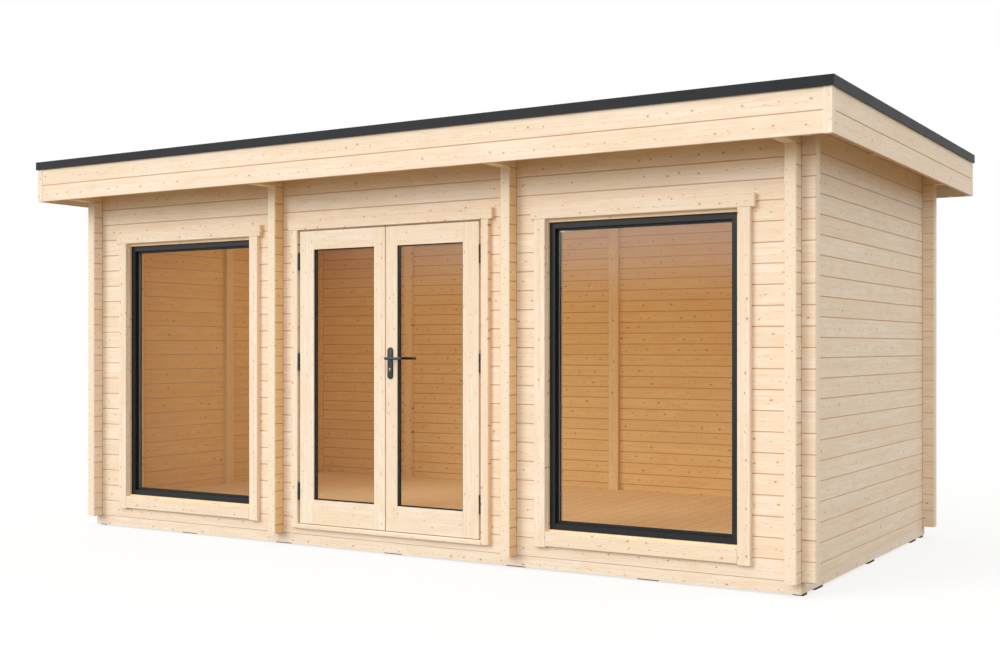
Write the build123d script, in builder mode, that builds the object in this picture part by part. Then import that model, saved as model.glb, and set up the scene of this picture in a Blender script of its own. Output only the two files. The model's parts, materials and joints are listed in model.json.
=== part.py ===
from build123d import *
from math import floor, sqrt
import os

os.makedirs("parts", exist_ok=True)

# A flat-roofed log cabin for a garden office, in millimetres.
# +Z is up, the front faces -Y, and the origin is on the ground under the middle of the roof.

# Logs
log_height = 114.0
log_thickness = 70.0
log_courses = 22
log_end = 80.0
groove_side = 6.0
end_bevel = 8.0

# Plan, from the middle of one log line to the middle of the next
side_bay = 1770.0
door_bay = 1846.0
wall_depth = 2655.0

# Ground pads and sill beams
pad_height = 12.0
pad_length = 130.0
pad_width = 60.0
hidden_pad_width = 25.0
pad_corner_length = 63.0
pad_corner_inset = 37.0
pad_first_step = 305.0
sill_height = 65.0
sill_width = 62.0
sill_inset = 4.0

# Floor
joist_width = 45.0
joist_count = 9
floor_thickness = 22.0
floor_rise = 122.0
floor_gap = 4.0

# Roof
front_overhang = 313.0
side_overhang = 264.0
back_overhang = 277.0
purlin_height = 63.0
deck_thickness = 19.0
fascia_board = 118.0
fascia_thickness = 20.0
fascia_drop = 173.0
corner_post = 50.0
post_proud = 3.0
kerb_width = 45.0
membrane_thickness = 4.0
drip_out = 13.0
trim_face = 56.0
trim_sheet = 2.0
trim_inner_leg = 40.0
hanger_width = 40.0
hanger_thickness = 18.0
hanger_out = 120.0

# Windows
window_width = 1206.0
window_height = 1859.0
window_rise = 160.0
window_from_middle = 1773.0
side_reveal = 8.0
head_reveal = 20.0
foot_reveal = 12.0
lining_thickness = 24.0
lining_past_wall = 24.0
frame_face = 36.0
frame_depth = 58.0
frame_set_back = 18.0
bead_width = 8.0
bead_drop = 22.0
pane_behind_bead = 4.0
pane_thickness = 24.0
pane_bite = 12.0
pane_clearance = 0.5

# Casings
casing_thickness = 30.0
window_casing = 75.0
window_head_casing = 76.0
window_foot_casing = 85.0
casing_tail = 8.0
casing_overhang = 25.0
casing_edge = 3.0
door_casing = 55.0
door_head_casing = 70.0
door_casing_lift = 5.0

# Door frame
door_shift = -10.0
door_clear_width = 1456.0
door_step = 47.0
threshold_height = 28.0
threshold_slope = 6.0
jamb_thickness = 40.0
frame_stop = 15.0

# Door leaves
leaf_height = 1950.0
leaf_thickness = 44.0
leaf_proud = 22.0
leaf_gap = 5.0
meeting_gap = 7.0
hinge_gap = 17.0
hinge_stile = 119.0
lock_stile = 89.0
top_rail = 123.0
bottom_rail = 162.0
joint_line = 1.5
leaf_edge = 2.0
gasket_width = 6.0
gasket_thickness = 3.0

# Small round parts
round_sides = 12

# Hinges
knuckle_radius = 6.0
pin_radius = 3.0
pin_clearance = 0.4
pin_length = 22.0
hinge_height = 114.0
knuckle_gap = 0.6
hinge_plate = 2.0
hinge_plate_reach = 34.0
hinge_axis_out = 2.0
low_hinge = 213.0
middle_hinge = 1080.0
top_hinge_drop = 199.0

# Handle
plate_width = 40.0
plate_height = 203.0
plate_thickness = 9.0
handle_rise = 1105.0
lever_above_plate_middle = 30.0
lever_to_edge = 7.0
keyhole_below_lever = 68.0
keyhole_slot = 18.0
keyhole_slot_width = 6.0
spindle_size = 8.0
spindle_bore = 7.5
spindle_clearance = 0.5
collar_radius = 10.0
collar_gap = 0.5
lever_stand_off = 50.0
lever_length = 138.0
lever_width = 17.0
lever_thickness = 12.0
lever_edge = 3.0

# Inner battens
batten_width = 80.0
batten_thickness = 34.0
back_batten_left = -1682.0
back_batten_right = 325.0

# Joints between like pieces that butt
butt_gap = 0.5

# Derived places
half_length = door_bay / 2 + side_bay + log_thickness / 2
side_line = half_length - log_thickness / 2
column_line = door_bay / 2
front_face = -(wall_depth + back_overhang - front_overhang) / 2
back_face = front_face + wall_depth
front_line = front_face + log_thickness / 2
back_line = back_face - log_thickness / 2
room_front = front_face + log_thickness
room_back = back_face - log_thickness
room_side = half_length - log_thickness
depth_middle = (front_face + back_face) / 2

wall_base = pad_height + sill_height
wall_top = wall_base + log_courses * log_height
half_log = log_height / 2
corner_end = half_length + log_end
low_joint = wall_base + log_height
long_top_joint = wall_base + (log_courses - 1) * log_height
cross_top_joint = wall_base + half_log + (log_courses - 2) * log_height
purlin_base = wall_top - purlin_height

fascia_x = half_length + side_overhang
fascia_front_y = front_face - front_overhang
fascia_back_y = back_face + back_overhang
log_reach_x = fascia_x - fascia_thickness
log_reach_front = fascia_front_y + fascia_thickness
log_reach_back = fascia_back_y - fascia_thickness
fascia_base = wall_top - fascia_drop
deck_top = wall_top + deck_thickness
trim_base = fascia_base + 2 * fascia_board
roof_top = trim_base + trim_face
kerb_top = roof_top - trim_sheet

floor_top = wall_base + floor_rise
joist_height = floor_top - floor_thickness - pad_height

door_step_z = wall_base + door_step
threshold_top = door_step_z + threshold_height
leaf_base = threshold_top + leaf_gap
leaf_top = leaf_base + leaf_height
head_base = leaf_top + leaf_gap
door_hole_top = head_base + jamb_thickness
over_joint = wall_base + floor((door_hole_top - wall_base) / log_height) * log_height
door_half = door_clear_width / 2
door_hole_half = door_half + jamb_thickness
door_left = door_shift - door_hole_half
door_right = door_shift + door_hole_half
leaf_front = front_face - leaf_proud
leaf_back = leaf_front + leaf_thickness
stop_front = leaf_back + leaf_gap
leaf_width = door_half - hinge_gap - meeting_gap / 2
glass_low = leaf_base + bottom_rail
glass_high = leaf_top - top_rail
hinge_x = door_half - hinge_gap / 2
hinge_y = leaf_front - hinge_axis_out

window_base = wall_base + window_rise
window_top = window_base + window_height
lining_half = window_width / 2 - side_reveal
lining_low = window_base + foot_reveal
lining_high = window_top - head_reveal
hole_half = lining_half + lining_thickness
hole_low = lining_low - lining_thickness
hole_high = lining_high + lining_thickness
window_frame_front = front_face + frame_set_back
window_frame_back = window_frame_front + frame_depth


# A box given by its low and high corners, added to the part or cut from it
def block(low, high, mode=Mode.ADD):
    size = [b - a for a, b in zip(low, high)]
    middle = [(a + b) / 2 for a, b in zip(low, high)]
    with Locations(tuple(middle)):
        Box(*size, mode=mode)


# Heights of the joints between logs that lie along X, or across on Y where half a log comes first
def joints(first, low, high):
    heights = [first + n * log_height for n in range(log_courses + 1)]
    return [z for z in heights if low <= z <= high]


# Section of a stack of logs, with a V at every joint on the faces that show from outside
def log_section(plane, middle, ways, low, high, first):
    faces = [middle + way * log_thickness / 2 for way in ways]
    with BuildSketch(plane) as section:
        with Locations((middle, (low + high) / 2)):
            Rectangle(log_thickness, high - low)
        with Locations(*[(face, z) for face in faces for z in joints(first, low, high)]):
            Rectangle(groove_side, groove_side, rotation=45, mode=Mode.SUBTRACT)
    return section.sketch


# Logs that lie along X, with the line of their middles at y
def long_logs(y, x_low, x_high, low, high):
    outwards = -1 if y < depth_middle else 1
    section = log_section(Plane.YZ.offset(x_low), y, (outwards,), low, high, wall_base)
    extrude(section, amount=x_high - x_low)


# Logs that lie along Y, with the line of their middles at x
def cross_logs(x, y_low, y_high, low, high):
    section = log_section(Plane.XZ.offset(-y_high), x, (-1, 1), low, high, wall_base + half_log)
    extrude(section, amount=y_high - y_low)


# Notches where other logs cross: each log keeps the upper half of its height there
def notch_crossing(x, y, first, low, high):
    feet = [first + n * log_height for n in range(log_courses + 1)]
    with Locations(*[(x, y, z + half_log / 2) for z in feet if low <= z < high]):
        Box(log_thickness, log_thickness, half_log, mode=Mode.SUBTRACT)


# Bevel down the upright edges of a row of log ends, given by those edges
def bevel_uprights(xs, ys, low, high):
    with Locations(*[(x, y, (low + high) / 2) for x in xs for y in ys]):
        Box(end_bevel, end_bevel, high - low, rotation=(0, 0, 45), mode=Mode.SUBTRACT)


# The door and window holes, cut through any run of front logs
def cut_front_openings():
    block((door_left, front_face, door_step_z), (door_right, room_front, door_hole_top), Mode.SUBTRACT)
    for x in (-window_from_middle, window_from_middle):
        block((x - hole_half, front_face, hole_low), (x + hole_half, room_front, hole_high), Mode.SUBTRACT)


# The pads that keep the timber off the ground
sill_x = half_length - sill_inset
sill_front_y = front_face + sill_inset
sill_back_y = back_face - sill_inset
between_x = side_line - side_bay / 2
long_pad_xs = (-between_x, -column_line, 0, column_line, between_x)
long_pad_ys = (
    sill_front_y + sill_width - hidden_pad_width / 2,
    sill_back_y - sill_width + hidden_pad_width / 2,
)
side_pad_x = sill_x - pad_width / 2
side_pad_ys = (sill_front_y + pad_first_step, depth_middle, sill_back_y - pad_first_step)
corner_pad_reach = pad_corner_inset + pad_corner_length / 2
corner_pad_ys = (sill_front_y + corner_pad_reach, sill_back_y - corner_pad_reach)
with BuildPart() as ground_pads:
    with Locations(*[(x, y, pad_height / 2) for x in long_pad_xs for y in long_pad_ys]):
        Box(pad_length, hidden_pad_width, pad_height)
    with Locations(*[(x, y, pad_height / 2) for x in (-side_pad_x, side_pad_x) for y in side_pad_ys]):
        Box(pad_width, pad_length, pad_height)
    with Locations(*[(x, y, pad_height / 2) for x in (-side_pad_x, side_pad_x) for y in corner_pad_ys]):
        Box(pad_width, pad_corner_length, pad_height)
ground_pads.part.label = "ground_pads"
export_step(ground_pads.part, "parts/ground_pads.step")

# Sill beams: the long ones run through and the side ones butt against them
side_sill_front = sill_front_y + sill_width + butt_gap
side_sill_back = sill_back_y - sill_width - butt_gap
with BuildPart() as sill_beams:
    for y in (sill_front_y, sill_back_y - sill_width):
        block((-sill_x, y, pad_height), (sill_x, y + sill_width, wall_base))
    for x in (-sill_x, sill_x - sill_width):
        block((x, side_sill_front, pad_height), (x + sill_width, side_sill_back, wall_base))
sill_beams.part.label = "sill_beams"
export_step(sill_beams.part, "parts/sill_beams.step")

# Floor joists between the long sills
joist_pitch = (2 * room_side - joist_width) / (joist_count + 1)
joist_half_count = (joist_count - 1) / 2
with BuildPart() as floor_joists:
    for n in range(joist_count):
        x = (n - joist_half_count) * joist_pitch
        low = (x - joist_width / 2, room_front, pad_height)
        high = (x + joist_width / 2, room_back, pad_height + joist_height)
        block(low, high)
floor_joists.part.label = "floor_joists"
export_step(floor_joists.part, "parts/floor_joists.step")

# Floor boards, cut round the inner log ends of the two columns
floor_low = floor_top - floor_thickness
with BuildPart() as floor_boards:
    block(
        (-room_side + floor_gap, room_front + floor_gap, floor_low),
        (room_side - floor_gap, room_back - floor_gap, floor_top),
    )
    for x in (-column_line, column_line):
        block(
            (x - log_thickness / 2 - floor_gap, room_front, floor_low),
            (x + log_thickness / 2 + floor_gap, room_front + log_end + floor_gap, floor_top),
            Mode.SUBTRACT,
        )
floor_boards.part.label = "floor_boards"
export_step(floor_boards.part, "parts/floor_boards.step")

# Bottom log of the front wall, lowered for the door
with BuildPart() as front_bottom_log:
    long_logs(front_line, -corner_end, corner_end, wall_base, low_joint)
    for x in (-side_line, -column_line, column_line, side_line):
        notch_crossing(x, front_line, wall_base, wall_base, low_joint)
    cut_front_openings()
    bevel_uprights((-corner_end, corner_end), (front_face, room_front), wall_base, low_joint)
front_bottom_log.part.label = "front_bottom_log"
export_step(front_bottom_log.part, "parts/front_bottom_log.step")

# The two halves of the front wall beside the door, each with its window hole
for name, side in (("front_wall_left", -1), ("front_wall_right", 1)):
    door_edge = door_left if side < 0 else door_right
    outer = side * corner_end
    with BuildPart() as front_half:
        long_logs(front_line, min(outer, door_edge), max(outer, door_edge), low_joint, over_joint)
        notch_crossing(side * side_line, front_line, wall_base, low_joint, over_joint)
        notch_crossing(side * column_line, front_line, wall_base, low_joint, over_joint)
        cut_front_openings()
        bevel_uprights((outer,), (front_face, room_front), low_joint, over_joint)
    front_half.part.label = name
    export_step(front_half.part, f"parts/{name}.step")

# Logs over the door and windows
with BuildPart() as front_wall_over_door:
    long_logs(front_line, -corner_end, corner_end, over_joint, long_top_joint)
    for x in (-side_line, -column_line, column_line, side_line):
        notch_crossing(x, front_line, wall_base, over_joint, long_top_joint)
    cut_front_openings()
    bevel_uprights((-corner_end, corner_end), (front_face, room_front), over_joint, long_top_joint)
front_wall_over_door.part.label = "front_wall_over_door"
export_step(front_wall_over_door.part, "parts/front_wall_over_door.step")

# Back wall
with BuildPart() as back_wall:
    long_logs(back_line, -corner_end, corner_end, wall_base, long_top_joint)
    for x in (-side_line, side_line):
        notch_crossing(x, back_line, wall_base, wall_base, long_top_joint)
    bevel_uprights((-corner_end, corner_end), (back_face, room_back), wall_base, long_top_joint)
back_wall.part.label = "back_wall"
export_step(back_wall.part, "parts/back_wall.step")

# Side walls
cross_front = front_face - log_end
cross_back = back_face + log_end
for name, x in (("left_wall", -side_line), ("right_wall", side_line)):
    with BuildPart() as side_wall:
        cross_logs(x, cross_front, cross_back, wall_base, cross_top_joint)
        for y in (front_line, back_line):
            notch_crossing(x, y, wall_base + half_log, wall_base, cross_top_joint)
        faces = (x - log_thickness / 2, x + log_thickness / 2)
        bevel_uprights(faces, (cross_front, cross_back), wall_base, cross_top_joint)
    side_wall.part.label = name
    export_step(side_wall.part, f"parts/{name}.step")

# Columns of short logs that cross the front wall beside the door
for name, x in (("front_column_left", -column_line), ("front_column_right", column_line)):
    inner_end = room_front + log_end
    with BuildPart() as column:
        cross_logs(x, cross_front, inner_end, wall_base, cross_top_joint)
        notch_crossing(x, front_line, wall_base + half_log, wall_base, cross_top_joint)
        faces = (x - log_thickness / 2, x + log_thickness / 2)
        bevel_uprights(faces, (cross_front,), wall_base, cross_top_joint)
    column.part.label = name
    export_step(column.part, f"parts/{name}.step")

# Top logs of the front and back walls, run out to the side fascias
with BuildPart() as long_top_logs:
    for y in (front_line, back_line):
        long_logs(y, -log_reach_x, log_reach_x, long_top_joint, wall_top)
        for x in (-side_line, -column_line, column_line, side_line):
            notch_crossing(x, y, wall_base, long_top_joint, wall_top)
long_top_logs.part.label = "long_top_logs"
export_step(long_top_logs.part, "parts/long_top_logs.step")

# Top logs over the side walls and columns, run out to the front and back fascias
with BuildPart() as cross_top_logs:
    for x in (-side_line, -column_line, column_line, side_line):
        cross_logs(x, log_reach_front, log_reach_back, cross_top_joint, wall_top)
        for y in (front_line, back_line):
            notch_crossing(x, y, wall_base + half_log, cross_top_joint, wall_top)
        block(
            (x - log_thickness / 2, depth_middle - log_thickness / 2, purlin_base),
            (x + log_thickness / 2, depth_middle + log_thickness / 2, wall_top),
            Mode.SUBTRACT,
        )
cross_top_logs.part.label = "cross_top_logs"
export_step(cross_top_logs.part, "parts/cross_top_logs.step")

# Purlin along the middle of the roof, let into the cross logs
with BuildPart() as middle_purlin:
    block(
        (-log_reach_x, depth_middle - log_thickness / 2, purlin_base),
        (log_reach_x, depth_middle + log_thickness / 2, wall_top),
    )
middle_purlin.part.label = "middle_purlin"
export_step(middle_purlin.part, "parts/middle_purlin.step")

# Upright battens that stiffen the walls inside
with BuildPart() as wall_battens:
    for x in (-room_side, room_side - batten_thickness):
        block(
            (x, depth_middle - batten_width / 2, floor_top),
            (x + batten_thickness, depth_middle + batten_width / 2, cross_top_joint),
        )
    for x in (back_batten_left, back_batten_right):
        block(
            (x - batten_width / 2, room_back - batten_thickness, floor_top),
            (x + batten_width / 2, room_back, long_top_joint),
        )
wall_battens.part.label = "wall_battens"
export_step(wall_battens.part, "parts/wall_battens.step")

# Roof boards, cut back for the corner posts
post_inner_x = fascia_x + post_proud - corner_post
post_inner_front = fascia_front_y - post_proud + corner_post
post_inner_back = fascia_back_y + post_proud - corner_post
with BuildPart() as roof_boards:
    block((-log_reach_x, log_reach_front, wall_top), (log_reach_x, log_reach_back, deck_top))
    for side in (-1, 1):
        x_low = min(side * post_inner_x, side * log_reach_x)
        x_high = max(side * post_inner_x, side * log_reach_x)
        for y_low, y_high in ((log_reach_front, post_inner_front), (post_inner_back, log_reach_back)):
            block((x_low, y_low, wall_top), (x_high, y_high, deck_top), Mode.SUBTRACT)
roof_boards.part.label = "roof_boards"
export_step(roof_boards.part, "parts/roof_boards.step")

# Kerb that holds up the roof edge, set inside the fascia
kerb_inner_x = log_reach_x - kerb_width
kerb_inner_front = log_reach_front + kerb_width
kerb_inner_back = log_reach_back - kerb_width
with BuildPart() as roof_kerb:
    for y in (log_reach_front, kerb_inner_back):
        block((-post_inner_x, y, deck_top), (post_inner_x, y + kerb_width, kerb_top))
    for x in (-log_reach_x, kerb_inner_x):
        block(
            (x, kerb_inner_front + butt_gap, deck_top),
            (x + kerb_width, kerb_inner_back - butt_gap, kerb_top),
        )
roof_kerb.part.label = "roof_kerb"
export_step(roof_kerb.part, "parts/roof_kerb.step")

# Rubber sheet over the boards, inside the kerb
with BuildPart() as roof_membrane:
    block(
        (-kerb_inner_x, kerb_inner_front, deck_top),
        (kerb_inner_x, kerb_inner_back, deck_top + membrane_thickness),
    )
roof_membrane.part.label = "roof_membrane"
export_step(roof_membrane.part, "parts/roof_membrane.step")


# Section of a two-board fascia, with its joint line on the outer face
def fascia_section(plane, face, out):
    with BuildSketch(plane) as section:
        with Locations((face - out * fascia_thickness / 2, (fascia_base + kerb_top) / 2)):
            Rectangle(fascia_thickness, kerb_top - fascia_base)
        with Locations((face, fascia_base + fascia_board)):
            Rectangle(groove_side, groove_side, rotation=45, mode=Mode.SUBTRACT)
    return section.sketch


# Fascia boards between the corner posts
with BuildPart() as fascia_boards:
    for y, out in ((fascia_front_y, -1), (fascia_back_y, 1)):
        extrude(fascia_section(Plane.YZ.offset(-post_inner_x), y, out), amount=2 * post_inner_x)
    for x, out in ((-fascia_x, -1), (fascia_x, 1)):
        section = fascia_section(Plane.XZ.offset(-post_inner_back), x, out)
        extrude(section, amount=post_inner_back - post_inner_front)
fascia_boards.part.label = "fascia_boards"
export_step(fascia_boards.part, "parts/fascia_boards.step")

# Square posts at the fascia corners
post_x = post_inner_x + corner_post / 2
post_ys = (post_inner_front - corner_post / 2, post_inner_back + corner_post / 2)
with BuildPart() as fascia_posts:
    with Locations(*[(x, y, (fascia_base + kerb_top) / 2) for x in (-post_x, post_x) for y in post_ys]):
        Box(corner_post, corner_post, kerb_top - fascia_base)
    chamfer(fascia_posts.edges().filter_by(Axis.Z), casing_edge)
fascia_posts.part.label = "fascia_posts"
export_step(fascia_posts.part, "parts/fascia_posts.step")

# Short hangers that tie the two fascia boards together behind the long fascias
hanger_x = half_length + hanger_out
with BuildPart() as fascia_hangers:
    for x in (-hanger_x, hanger_x):
        for y_low in (log_reach_front, log_reach_back - hanger_thickness):
            block(
                (x - hanger_width / 2, y_low, fascia_base),
                (x + hanger_width / 2, y_low + hanger_thickness, wall_top),
            )
fascia_hangers.part.label = "fascia_hangers"
export_step(fascia_hangers.part, "parts/fascia_hangers.step")

# Metal edge trim over fascia and kerb: an outer face, a top and a short inner leg, mitred at the corners
trim_x = fascia_x + drip_out
trim_front = fascia_front_y - drip_out
trim_back = fascia_back_y + drip_out
inner_leg_base = roof_top - trim_inner_leg
with BuildPart() as roof_edge_trim:
    block((-trim_x, trim_front, trim_base), (trim_x, trim_back, roof_top))
    block(
        (-trim_x + trim_sheet, trim_front + trim_sheet, trim_base),
        (trim_x - trim_sheet, trim_back - trim_sheet, roof_top - trim_sheet),
        Mode.SUBTRACT,
    )
    block((-kerb_inner_x, kerb_inner_front, inner_leg_base), (kerb_inner_x, kerb_inner_back, roof_top))
    block(
        (-kerb_inner_x + trim_sheet, kerb_inner_front + trim_sheet, inner_leg_base),
        (kerb_inner_x - trim_sheet, kerb_inner_back - trim_sheet, roof_top),
        Mode.SUBTRACT,
    )
    mitre_reach = 4 * (trim_x - kerb_inner_x)
    for side in (-1, 1):
        for y, turn in ((trim_front, -side), (trim_back, side)):
            with Locations((side * trim_x, y, (trim_base + roof_top) / 2)):
                Box(mitre_reach, butt_gap, trim_face, rotation=(0, 0, turn * 45), mode=Mode.SUBTRACT)
roof_edge_trim.part.label = "roof_edge_trim"
export_step(roof_edge_trim.part, "parts/roof_edge_trim.step")


# A box as large as a window, given by how far it lies inside the opening of the lining
def window_box(middle, inset, y_low, y_high, mode=Mode.ADD):
    block(
        (middle - lining_half + inset, y_low, lining_low + inset),
        (middle + lining_half - inset, y_high, lining_high - inset),
        mode,
    )


# Window linings: joined timber frames, with an inner stop that the metal frame sits against
lining_back = room_front + lining_past_wall
frame_opening = frame_face + bead_width
with BuildPart() as window_linings:
    for middle in (-window_from_middle, window_from_middle):
        window_box(middle, -lining_thickness, front_face, lining_back)
        window_box(middle, 0, front_face, window_frame_back, Mode.SUBTRACT)
        window_box(middle, frame_opening, window_frame_back, lining_back, Mode.SUBTRACT)
window_linings.part.label = "window_linings"
export_step(window_linings.part, "parts/window_linings.step")

# Fixed window frames: a flat outer face, a deep step to a narrow bead, and a groove for the pane
pane_front = window_frame_front + bead_drop + pane_behind_bead
groove_inset = frame_opening - pane_bite - pane_clearance
groove_back = pane_front + pane_thickness + pane_clearance
for name, middle in (("left_window_frame", -window_from_middle), ("right_window_frame", window_from_middle)):
    with BuildPart() as window_frame:
        window_box(middle, 0, window_frame_front, window_frame_back)
        window_box(middle, frame_opening, window_frame_front, window_frame_back, Mode.SUBTRACT)
        window_box(middle, frame_face, window_frame_front, window_frame_front + bead_drop, Mode.SUBTRACT)
        window_box(middle, groove_inset, pane_front - pane_clearance, groove_back, Mode.SUBTRACT)
    window_frame.part.label = name
    export_step(window_frame.part, f"parts/{name}.step")

# Window panes, held in the groove of their frames
pane_half = lining_half - frame_opening + pane_bite
pane_low = lining_low + frame_opening - pane_bite - pane_clearance
pane_high = lining_high - frame_opening + pane_bite
with BuildPart() as window_glass:
    for middle in (-window_from_middle, window_from_middle):
        block(
            (middle - pane_half, pane_front, pane_low),
            (middle + pane_half, pane_front + pane_thickness, pane_high),
        )
window_glass.part.label = "window_glass"
export_step(window_glass.part, "parts/window_glass.step")

# Window casings: side boards, a foot board between them and a head board over them
casing_front = front_face - casing_thickness
casing_half = window_width / 2
with BuildPart() as window_casings:
    for middle in (-window_from_middle, window_from_middle):
        for x in (middle - casing_half - window_casing, middle + casing_half):
            block(
                (x, casing_front, window_base - window_foot_casing - casing_tail),
                (x + window_casing, front_face, window_top - butt_gap),
            )
        block(
            (middle - casing_half + butt_gap, casing_front, window_base - window_foot_casing),
            (middle + casing_half - butt_gap, front_face, window_base),
        )
        head_half = casing_half + window_casing + casing_overhang
        block(
            (middle - head_half, casing_front, window_top),
            (middle + head_half, front_face, window_top + window_head_casing),
        )
    chamfer(window_casings.faces().filter_by(Axis.Y).group_by(Axis.Y)[0].edges(), casing_edge)
window_casings.part.label = "window_casings"
export_step(window_casings.part, "parts/window_casings.step")

# Door casings
with BuildPart() as door_casings:
    head_low = head_base + door_casing_lift
    for side in (-1, 1):
        x_near = door_shift + side * door_half
        x_far = door_shift + side * (door_half + door_casing)
        block(
            (min(x_near, x_far), casing_front, door_step_z),
            (max(x_near, x_far), front_face, head_low - butt_gap),
        )
    head_half = door_half + door_casing + casing_overhang
    block(
        (door_shift - head_half, casing_front, head_low),
        (door_shift + head_half, front_face, head_low + door_head_casing),
    )
    chamfer(door_casings.faces().filter_by(Axis.Y).group_by(Axis.Y)[0].edges(), casing_edge)
door_casings.part.label = "door_casings"
export_step(door_casings.part, "parts/door_casings.step")

# Door frame: rebated jambs on a stepped threshold, with a rebated head over them
stop_half = door_half - hinge_gap - frame_stop
with BuildPart() as door_frame:
    for side in (-1, 1):
        with BuildSketch(Plane.XY.offset(threshold_top)):
            with BuildLine():
                Polyline(
                    (door_shift + side * door_hole_half, front_face),
                    (door_shift + side * door_half, front_face),
                    (door_shift + side * door_half, stop_front),
                    (door_shift + side * stop_half, stop_front),
                    (door_shift + side * stop_half, room_front),
                    (door_shift + side * door_hole_half, room_front),
                    close=True,
                )
            make_face()
        extrude(amount=head_base - threshold_top - butt_gap)
    block((door_left, front_face, head_base), (door_right, room_front, door_hole_top))
    stop_inside = stop_half - butt_gap
    block(
        (door_shift - stop_inside, stop_front, head_base - frame_stop),
        (door_shift + stop_inside, room_front, head_base),
    )
door_frame.part.label = "door_frame"
export_step(door_frame.part, "parts/door_frame.step")

# Threshold: a sloped nose in front, and a step behind the leaves that meets the floor
with BuildPart() as door_threshold:
    block((door_left, front_face, door_step_z), (door_right, room_front, threshold_top))
    with BuildSketch(Plane.YZ.offset(door_shift - door_half + butt_gap)):
        with BuildLine():
            Polyline(
                (casing_front, door_step_z),
                (casing_front, threshold_top - threshold_slope),
                (leaf_front, threshold_top),
                (front_face, threshold_top),
                (front_face, door_step_z),
                close=True,
            )
        make_face()
    extrude(amount=2 * (door_half - butt_gap))
    block(
        (door_shift - stop_inside, stop_front, threshold_top),
        (door_shift + stop_inside, room_front, floor_top),
    )
door_threshold.part.label = "door_threshold"
export_step(door_threshold.part, "parts/door_threshold.step")

# Door leaves: stiles and rails round a pane, with fine lines where rail meets stile
hinge_heights = (leaf_base + low_hinge, leaf_base + middle_hinge, leaf_top - top_hinge_drop)
handle_z = leaf_base + handle_rise
lock_edge = meeting_gap / 2
for name, side in (("left_leaf", -1), ("right_leaf", 1)):
    near = door_shift + side * lock_edge
    far = door_shift + side * (lock_edge + leaf_width)
    light_near = door_shift + side * (lock_edge + lock_stile)
    light_far = door_shift + side * (lock_edge + leaf_width - hinge_stile)
    light_low, light_high = sorted((light_near, light_far))
    pane_y = (leaf_front + leaf_back) / 2
    with BuildPart() as leaf:
        block((min(near, far), leaf_front, leaf_base), (max(near, far), leaf_back, leaf_top))
        block((light_low, leaf_front, glass_low), (light_high, leaf_back, glass_high), Mode.SUBTRACT)
        groove = pane_bite + pane_clearance
        block(
            (light_low - groove, pane_y - pane_thickness / 2 - pane_clearance, glass_low - pane_bite),
            (light_high + groove, pane_y + pane_thickness / 2 + pane_clearance, glass_high + groove),
            Mode.SUBTRACT,
        )
        chamfer(leaf.edges().filter_by(Axis.Z).group_by(Axis.Y)[0], leaf_edge)
        for y in (leaf_front, leaf_back):
            rails = ((leaf_base + glass_low) / 2, bottom_rail), ((glass_high + leaf_top) / 2, top_rail)
            for z, height in rails:
                with Locations((light_low, y, z), (light_high, y, z)):
                    Box(joint_line, joint_line, height, rotation=(0, 0, 45), mode=Mode.SUBTRACT)
        if side > 0:
            spindle_x = near + lock_stile / 2 - lever_to_edge
            with BuildSketch(Plane.XZ.offset(-leaf_back)):
                with Locations((spindle_x, handle_z)):
                    RegularPolygon(spindle_bore, round_sides)
            extrude(amount=leaf_thickness, mode=Mode.SUBTRACT)
    leaf.part.label = name
    export_step(leaf.part, f"parts/{name}.step")

    with BuildPart() as leaf_glass:
        block(
            (light_low - pane_bite, pane_y - pane_thickness / 2, glass_low - pane_bite),
            (light_high + pane_bite, pane_y + pane_thickness / 2, glass_high + pane_bite),
        )
    leaf_glass.part.label = f"{name}_glass"
    export_step(leaf_glass.part, f"parts/{name}_glass.step")

    with BuildPart() as leaf_gaskets:
        faces = (pane_y - pane_thickness / 2 - gasket_thickness, pane_y + pane_thickness / 2)
        for y in faces:
            block((light_low, y, glass_low), (light_high, y + gasket_thickness, glass_high))
            block(
                (light_low + gasket_width, y, glass_low + gasket_width),
                (light_high - gasket_width, y + gasket_thickness, glass_high - gasket_width),
                Mode.SUBTRACT,
            )
    leaf_gaskets.part.label = f"{name}_gaskets"
    export_step(leaf_gaskets.part, f"parts/{name}_gaskets.step")

# Lift-off hinges in the gaps beside the leaves: the upper knuckle turns with the leaf on a fixed pin
half_gap = hinge_gap / 2
knuckle_height = (hinge_height - knuckle_gap) / 2


# A slim upright barrel, given by its radius, its foot and its length
def barrel(axis_x, radius, z_low, length, mode=Mode.ADD):
    with BuildSketch(Plane.XY.offset(z_low)) as outline:
        with Locations((axis_x, hinge_y)):
            RegularPolygon(radius, round_sides)
    extrude(outline.sketch, amount=length, mode=mode)


# One half of a hinge: a knuckle with a flat plate that runs back into the gap
def hinge_half(axis_x, way, z_low):
    plate_face = axis_x + way * half_gap
    plate_low, plate_high = sorted((plate_face, plate_face - way * hinge_plate))
    barrel(axis_x, knuckle_radius, z_low, knuckle_height)
    arm_low, arm_high = sorted((axis_x, plate_face))
    block((arm_low, hinge_y, z_low), (arm_high, hinge_y + hinge_plate, z_low + knuckle_height))
    block((plate_low, hinge_y, z_low), (plate_high, hinge_y + hinge_plate_reach, z_low + knuckle_height))


for name, side in (("left_leaf_hinges", -1), ("right_leaf_hinges", 1)):
    axis_x = door_shift + side * hinge_x
    with BuildPart() as leaf_hinges:
        for z in hinge_heights:
            z_low = z + knuckle_gap / 2
            hinge_half(axis_x, -side, z_low)
            barrel(axis_x, pin_radius + pin_clearance, z_low, pin_length + pin_clearance, Mode.SUBTRACT)
    leaf_hinges.part.label = name
    export_step(leaf_hinges.part, f"parts/{name}.step")

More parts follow.
